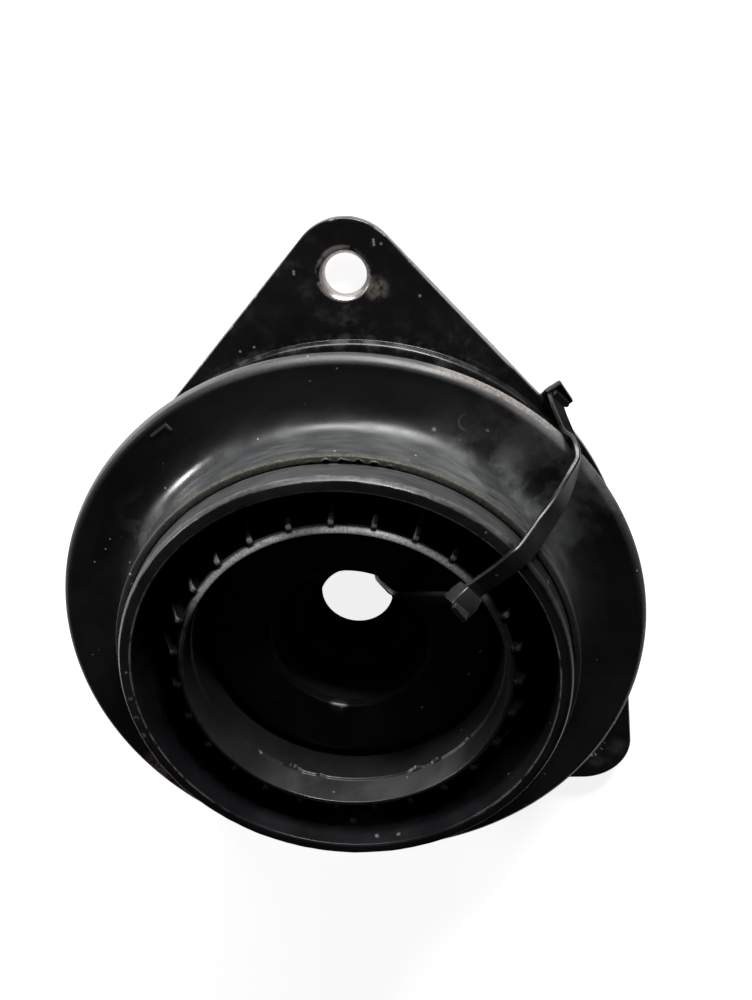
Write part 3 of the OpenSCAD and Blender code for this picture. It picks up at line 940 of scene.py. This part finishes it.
def seat_gloss(f):
    """Gloss, lower on the near lip, the right of the lip and the ribs that lie in shade."""
    lip_low = f.times(f.ramp(f.r, 50.5, 51.5), f.ramp(f.y, -10, -40))
    lip_right = f.times(f.ramp(f.r, 52.5, 53.5), f.ramp(f.x, 36, 42))
    outer_lip = f.times(f.ramp(f.r, 53.3, 53.7), f.ramp(f.y, 0, -30), f.ramp(f.x, -30, 0))
    ribs = f.times(f.ramp(f.r, 45.5, 44.5), f.ramp(f.r, 41.1, 41.4))
    dull_ribs = f.times(ribs, f.most(f.ramp(f.x, 20, 30), f.ramp(f.y, 12, 0)))
    dulled = f.most(f.times(lip_low, 0.34), f.times(dull_ribs, 0.5))
    dulled = f.most(dulled, f.times(f.most(lip_right, outer_lip), 0.45))
    return f.math("SUBTRACT", GLOSS, dulled)


def seat_plastic():
    """Satin black nylon, dusty on the lip and ring, rubbed at the ribs, with painted light on the ring and
    painted glints at the rib ends.
    """
    f = Finish("seat_plastic_used")
    broad = f.noise(60, 6)
    streak = f.noise(1.0, 5, where=f.round_way(9, 1.5))
    fine = f.noise(1300, 3)
    grit = f.noise(1700, 4, 0.7)
    upright = f.ramp(f.facing_up(), 0.8, 0.45)
    colour = f.mottled(broad, (0.0050, 0.0048, 0.0057), (0.0098, 0.0095, 0.0108))
    film = lip_film(f, streak, upright)
    colour = f.lay(colour, DUST, film, 0.16)
    colour = f.lay(colour, rgb(0.34, 0.34, 0.34), lip_line(f), 0.6)
    colour = ring_dust_and_painted_light(f, colour, upright, broad, grit)
    colour = f.lay(colour, rgb(0.40, 0.38, 0.34), f.specks(420, 0.05), 0.45)
    colour = rib_wear_and_glints(f, colour)
    crumbs = f.ramp(f.noise(900, 4), 0.4, 0.55)
    for mark, reach in WALL_MARKS + LIP_MARKS:
        colour = f.lay(colour, DUST, f.spot(mark, reach, 0.8), crumbs, 0.5)
    rough = f.plus(f.ramp(broad, 0.3, 0.7, 0.26, 0.36), f.times(film, 0.2))
    f.bump([(fine, 0.03, 0.25), (streak, 0.04, 0.18)])
    return f.done(colour, rough, specular=seat_gloss(f))


# Pad rubber

FLAKE_PATCHES = (((-46.1, 37.0, 24), 2.6), ((-50.6, 28.7, 24), 2.8))
PAD_DABS = (((27.6, 53.8, 20.3), 0.7), ((34.1, 56.0, 20.3), 0.7), ((18.2, 51.3, 22), 0.6),
            ((16.4, 52.0, 22), 0.5), ((45.0, 46.1, 23), 0.6), ((15.0, 56.9, 20.4), 0.9),
            ((21.7, 56.5, 20.4), 0.9), ((-57.4, -14.8, 30), 1.0), ((-54.9, -22.5, 30), 1.2),
            ((47.0, -56.4, 22), 1.0))
HOOK = (29.6, 58.2, 20.4)


def pad_flakes(f, colour):
    """Flaking film on the left of the fillet."""
    blocks = f.cells(210, "CHEBYCHEV")[0]
    flakes = f.times(f.math("GREATER_THAN", blocks, 0.5), f.spot((-49, 33, 24), 11, 0.6))
    colour = f.lay(colour, DUST, flakes, 0.05)
    broken = f.ramp(f.noise(260, 5), 0.34, 0.44)
    for mark, reach in FLAKE_PATCHES:
        colour = f.lay(colour, rgb(0.26, 0.27, 0.285), f.spot(mark, reach, 0.25), broken, 0.10)
    return colour


def rim_dust_and_highlights(f, colour, edge, left_side, grit):
    """Dust on the rim, partly painted highlight where the rim catches the light: a band at the far side, a
    thin line at the left and a cream patch at the right.
    """
    far = f.times(edge, f.ramp(f.y, 0, 45), f.down_to(left_side, 0.25))
    colour = f.lay(colour, DUST, far, f.ramp(grit, 0.35, 0.65, 0.06, 0.13))
    # Painted highlight: a thin light line along the outer edge of the left rim.
    line = f.times(f.ramp(f.r, RIM_R - 0.9, RIM_R - 0.4), left_side, f.ramp(f.y, 22, 36))
    colour = f.lay(colour, DUST, line, 0.6)
    # Dust and painted highlight: the cream patch carries the rim's highlight on at the upper right.
    cream = f.times(f.ramp(f.r, RIM_R - 0.95, RIM_R - 0.6), f.spot((36.3, 64.4, 21.5), 19, 0.3))
    return f.lay(colour, rgb(0.36, 0.31, 0.28), cream, f.ramp(grit, 0.35, 0.65, 0.12, 0.5))


def end_dirt(f, colour, end, grit):
    """Olive dirt on the rubber's end, thickest at the far side."""
    olive = f.mix(f.ramp(grit, 0.38, 0.64), rgb(0.016, 0.016, 0.012), rgb(0.075, 0.075, 0.055))
    far = f.ramp(f.y, 0, 40, 0.25, 0.85)
    return f.lay(colour, olive, end, far, f.ramp(f.x, 36, 44, 1.0, 0.4), f.ramp(f.x, -46, -26, 0.35, 1.0))


def pad_marks(f, colour):
    """Rust, dabs, a hook-shaped scratch, the raised mark's light edges and specks."""
    rust = f.most(f.spot((-56.5, -45.5, 22), 7, 0.9), f.spot((-50.2, -52.5, 22), 5, 0.9))
    colour = f.lay(colour, rgb(0.30, 0.19, 0.17), rust, f.ramp(f.noise(230, 6, 0.7), 0.40, 0.56), 0.6)
    crumbs = f.ramp(f.noise(800, 4), 0.38, 0.52)
    for mark, reach in PAD_DABS:
        colour = f.lay(colour, CHALK, f.spot(mark, reach, 0.8), crumbs, 0.55)
    hook = f.math("SUBTRACT", f.spot(HOOK, 2.6, 0.2), f.spot(HOOK, 2.1, 0.2), clamp=True)
    colour = f.lay(colour, DUST, hook, f.ramp(f.x, 29.8, 28.2), 0.3)
    colour = f.lay(colour, DUST, f.ramp(f.worn_edge(), 1.3, 1.7), 0.45)
    specks = f.most(f.specks(300, 0.05, 0.12), f.specks(620, 0.03, 0.2))
    return f.lay(colour, rgb(0.5, 0.48, 0.45), specks, 0.6)


def pad_gloss(f, shiny, edge, left_side, end):
    """Gloss, lower at both sides, on the rim there and on the rubber's end at the right."""
    gloss = f.times(f.ramp(f.x, -66, -30, 0.28, GLOSS), f.ramp(f.x, 30, 62, 1.0, 0.7))
    gloss = f.math("ADD", gloss, f.times(shiny, 0.25))
    both_sides = f.most(left_side, f.ramp(f.x, 46, 58))
    end_right = f.times(end, f.ramp(f.x, 34, 42))
    return f.times(gloss, f.down_to(f.times(edge, both_sides), 0.35), f.down_to(end_right, 0.3))


def pad_rubber():
    """Black rubber with a dusty film up the fillet that is partly painted light, smears at the right and dirt
    on its rim and end, with painted highlights on the rim.
    """
    f = Finish("pad_rubber_dusty")
    broad = f.noise(38, 7, 0.62, warp=0.8)
    streak = f.noise(1.0, 6, where=f.round_way(7, 0.7))
    fine = f.noise(1100, 4)
    grit = f.noise(1500, 5, 0.7)
    colour = f.mottled(broad, (0.0055, 0.0055, 0.0066), (0.0112, 0.0113, 0.0126))
    # Dust film and painted light: the film is laid mostly on the +y side, where light falls on the fillet and
    # collar wall, so their lit glow is in its colour.
    film = f.times(f.ramp(streak, 0.35, 0.72, 0.4, 1.0), f.ramp(f.z, DISH_Z + 0.3, DISH_Z + 3.5),
                   f.ramp(f.r, RIM_R - 4, RIM_R - 7), f.ramp(f.y, 5, 42, 0.10, 1.0))
    colour = f.lay(colour, rgb(0.205, 0.212, 0.21), film, 0.25)
    colour = f.lay(colour, DUST, f.ramp(f.y, 35, 60), f.ramp(broad, 0.35, 0.7, 0.4, 1.0), 0.035)
    colour = pad_flakes(f, colour)
    smear = f.times(f.spot((47, 48, 23), 36, 0.8), f.ramp(f.noise(62, 8, 0.62, warp=0.25), 0.44, 0.64))
    colour = f.lay(colour, GREY_SMEAR, smear, 0.24)
    outer_smear = f.times(f.spot((43, 55, 21), 13, 0.9), f.ramp(f.noise(110, 7, 0.6), 0.36, 0.62))
    colour = f.lay(colour, GREY_SMEAR, outer_smear, 0.22)
    edge = f.ramp(f.r, RIM_R - 2.4, RIM_R - 1.6)
    left_side = f.ramp(f.x, -15, -40)
    colour = rim_dust_and_highlights(f, colour, edge, left_side, grit)
    end = f.ramp(f.z, PAD_Z1 - 1.7, PAD_Z1 - 1.2)
    colour = end_dirt(f, colour, end, grit)
    colour = pad_marks(f, colour)
    shiny = f.spot((-36, 47.5, 26), 15, 0.8)
    rough = f.plus(f.ramp(streak, 0.3, 0.7, 0.27, 0.38), f.times(smear, 0.25), f.times(film, 0.10),
                   f.times(end, 0.3), f.times(edge, 0.12), f.times(shiny, -0.08))
    f.bump([(fine, 0.04, 0.25), (grit, 0.05, 0.15), (streak, 0.10, 0.22), (broad, 0.45, 0.22)])
    return f.done(colour, rough, specular=pad_gloss(f, shiny, edge, left_side, end))


# Other materials

def black_rubber():
    f = Finish("bush_rubber_aged")
    broad = f.noise(90, 6)
    fine = f.noise(1200, 4)
    colour = f.mottled(broad, (0.006, 0.006, 0.0062), (0.013, 0.0125, 0.012))
    colour = f.lay(colour, DUST, f.specks(380, 0.04), 0.35)
    f.bump([(fine, 0.05, 0.3), (broad, 0.2, 0.2)])
    return f.done(colour, f.ramp(broad, 0.3, 0.7, 0.5, 0.66), specular=0.15)


def core_steel():
    """Dark oiled steel, a little rusty, with no gloss so that its bore stays dark."""
    f = Finish("core_steel_oiled")
    turned_marks = f.noise(1.0, 3, where=f.round_way(0.6, 5.2))
    broad = f.noise(140, 6)
    colour = f.mottled(broad, (0.010, 0.0095, 0.009), (0.022, 0.020, 0.019))
    colour = f.lay(colour, rgb(0.11, 0.05, 0.025), f.ramp(f.noise(220, 7, 0.7), 0.6, 0.74), 0.5)
    colour = f.lay(colour, rgb(0.018, 0.012, 0.011), f.ramp(f.r, 10.3, 9.9), 0.7)
    f.bump([(turned_marks, 0.03, 0.3), (broad, 0.05, 0.2)])
    return f.done(colour, f.ramp(broad, 0.3, 0.7, 0.45, 0.62), specular=0.0)


def moulded(name, dark, light):
    """Start of a moulded plastic: its finish, its broad pattern and its colour with specks."""
    f = Finish(name)
    broad = f.noise(110, 6)
    fine = f.noise(1500, 3)
    f.bump([(fine, 0.03, 0.25), (broad, 0.08, 0.15)])
    return f, broad, f.lay(f.mottled(broad, dark, light), DUST, f.specks(420, 0.05), 0.4)


def cap_plastic(name, base, rough):
    f, broad, colour = moulded(name, base, [c * 1.7 for c in base])
    worn = f.times(f.ramp(f.worn_edge(), 0.3, 0.9), f.ramp(f.noise(300, 5), 0.42, 0.6))
    colour = f.lay(colour, rgb(*(min(0.8, c * 6 + 0.05) for c in base)), worn, 0.3)
    return f.done(colour, f.ramp(broad, 0.3, 0.7, *rough))


def tie_nylon():
    """Black nylon, shiny over the seat and dull at the plate and in the bore, with a faint dust at the seat
    tie's head.
    """
    f, broad, colour = moulded("tie_nylon_black", (0.006, 0.006, 0.0065), (0.010, 0.010, 0.011))
    colour = f.lay(colour, DUST, f.spot(seat_head, 5.5, 0.2), 0.06)
    edges = f.times(f.ramp(f.worn_edge(), 0.2, 0.6), f.ramp(f.z, 17, 24, 0.1, 0.55))
    gloss = f.most(f.ramp(f.z, 24, 38, 0.0, 0.25), edges)
    return f.done(colour, f.ramp(broad, 0.3, 0.7, 0.26, 0.36), specular=gloss)


def bright_steel(name, base, rough, marks):
    f = Finish(name)
    turned_marks = f.noise(1.0, 3, where=f.round_way(0.5, marks))
    broad = f.noise(160, 5)
    colour = f.mottled(broad, [c * 0.82 for c in base], base)
    colour = f.lay(colour, rgb(0.16, 0.12, 0.07), f.ramp(f.noise(120, 6), 0.58, 0.7), 0.35)
    f.bump([(turned_marks, 0.01, 0.2), (broad, 0.02, 0.15)])
    return f.done(colour, f.ramp(broad, 0.3, 0.7, *rough), 1.0)


def seal_rubber():
    f = Finish("seal_rubber_greased")
    broad = f.noise(150, 6)
    fine = f.noise(1300, 4)
    colour = f.mottled(broad, (0.007, 0.007, 0.0075), (0.015, 0.0145, 0.014))
    f.bump([(fine, 0.03, 0.25), (broad, 0.08, 0.2)])
    return f.done(colour, f.ramp(broad, 0.3, 0.7, 0.4, 0.55))


FLOOR_WHITE = 0.86


def floor_paper():
    """White for the camera, with the object's soft shadow, and dim for the light it sends back."""
    f = Finish("studio_floor")
    grain = f.noise(900, 3)
    f.bump([(grain, 0.02, 0.1)])
    colour = f.mix(grain, rgb(0.80, 0.80, 0.80), rgb(0.84, 0.84, 0.84))
    f.done(colour, f.ramp(grain, 0.3, 0.7, 0.85, 0.95), specular=0.0)
    path = f.node("ShaderNodeLightPath").outputs
    seen = f.most(path["Is Camera Ray"], path["Is Transmission Ray"], path["Is Glossy Ray"])
    f.join(f.times(seen, FLOOR_WHITE), f.shader.inputs["Emission Strength"])
    f.shader.inputs["Emission Color"].default_value = rgb(1, 1, 1)
    return f.material


# What each piece wears

paint = plate_paint()
plastic = seat_plastic()
rubber = pad_rubber()
nylon = tie_nylon()
race = bright_steel("race_steel_ground", (0.56, 0.57, 0.58), (0.22, 0.34), 6.0)
seal = seal_rubber()
skins = {
    "mounting_plate": paint,
    "spring_seat": plastic,
    "spring_pad": rubber,
    "rubber_bush": black_rubber(),
    "rod_core": core_steel(),
    "retainer_ring": paint,
    "bearing_cap": cap_plastic("cap_plastic_black", (0.011, 0.011, 0.012), (0.40, 0.52)),
    "upper_race": race,
    "lower_race": race,
    "bearing_balls": bright_steel("ball_steel_polished", (0.70, 0.71, 0.72), (0.08, 0.16), 0.4),
    "ball_cage": cap_plastic("cage_nylon_natural", (0.40, 0.37, 0.30), (0.42, 0.55)),
    "outer_seal": seal,
    "inner_seal": seal,
}


def dress(obj, material):
    obj.data.materials.clear()
    obj.data.materials.append(material)


for name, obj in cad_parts.items():
    for slot in obj.material_slots:
        slot.material = skins[name]

for obj, material, body, slot, nodes in (
        (plate, paint, "mount", "plate_paint", ["mounting_plate"]),
        (seat, plastic, "seat", "seat_plastic", ["spring_seat"]),
        (pad, rubber, "seat", "pad_rubber", ["spring_pad"]),
        (tie_seat, nylon, "mount", "cap_plastic", []),
        (tie_bore, nylon, "mount", "cap_plastic", [])):
    dress(obj, material)
    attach(obj, body)
    if nodes:
        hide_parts(*nodes)


# Floor, light and camera, in metres

FLOOR_Z = (TOWER_Z - 1.6) * MM
FLOOR_HALF = 4.0
floor_corners = [(x * FLOOR_HALF, y * FLOOR_HALF, FLOOR_Z) for x, y in ((-1, -1), (1, -1), (1, 1), (-1, 1))]
floor_mesh = bpy.data.meshes.new("floor")
floor_mesh.from_pydata(floor_corners, [], [(0, 1, 2, 3)])
floor = bpy.data.objects.new("floor", floor_mesh)
scene.collection.objects.link(floor)
dress(floor, floor_paper())

LIGHT_AIM = Vector((0, 0, 0.03))


def softbox(name, place, size, power):
    """Rectangular light facing the object."""
    light = bpy.data.lights.new(name, "AREA")
    light.shape = "RECTANGLE"
    light.size, light.size_y = size
    light.energy = power
    obj = bpy.data.objects.new(name, light)
    obj.location = place
    obj.rotation_euler = (LIGHT_AIM - Vector(place)).to_track_quat("-Z", "Y").to_euler()
    scene.collection.objects.link(obj)


softbox("window", (0.02, 0.95, 0.165), (0.85, 0.17), 12.0)
softbox("key", (0.253, 0.884, 0.33), (0.17, 0.11), 6.0)
softbox("side_strip", (-0.74, 0.30, 0.17), (0.12, 0.18), 3.0)

# The world is white to the camera and nearly dark as a light
WORLD_LIGHT = 0.03
world = bpy.data.worlds.new("studio")
world.use_nodes = True
tree = world.node_tree
back = tree.nodes["Background"]
back.inputs["Color"].default_value = rgb(1, 1, 1)
path = tree.nodes.new("ShaderNodeLightPath")
level = tree.nodes.new("ShaderNodeMapRange")
level.inputs["To Min"].default_value = WORLD_LIGHT
level.inputs["To Max"].default_value = 1.0
tree.links.new(path.outputs["Is Camera Ray"], level.inputs["Value"])
tree.links.new(level.outputs["Result"], back.inputs["Strength"])
scene.world = world

# Camera fitted to the photograph's circles
CAMERA_PLACE = (0.02507, 0.14516, 0.23613)
CAMERA_TILT = math.radians(-26.3817)
CAMERA_PAN = math.radians(4.1346)
FRAME_H = 36
FOCAL = 36
lens = bpy.data.cameras.new("camera")
lens.sensor_fit = "VERTICAL"
lens.sensor_height = FRAME_H
lens.lens = FOCAL
lens.clip_start = 0.01
camera = bpy.data.objects.new("camera", lens)
camera_turn = Matrix.Rotation(CAMERA_TILT, 4, "X") @ Matrix.Rotation(CAMERA_PAN, 4, "Y")
camera.matrix_world = Matrix.Translation(CAMERA_PLACE) @ camera_turn
scene.collection.objects.link(camera)
scene.camera = camera

scene.view_settings.view_transform = "Standard"
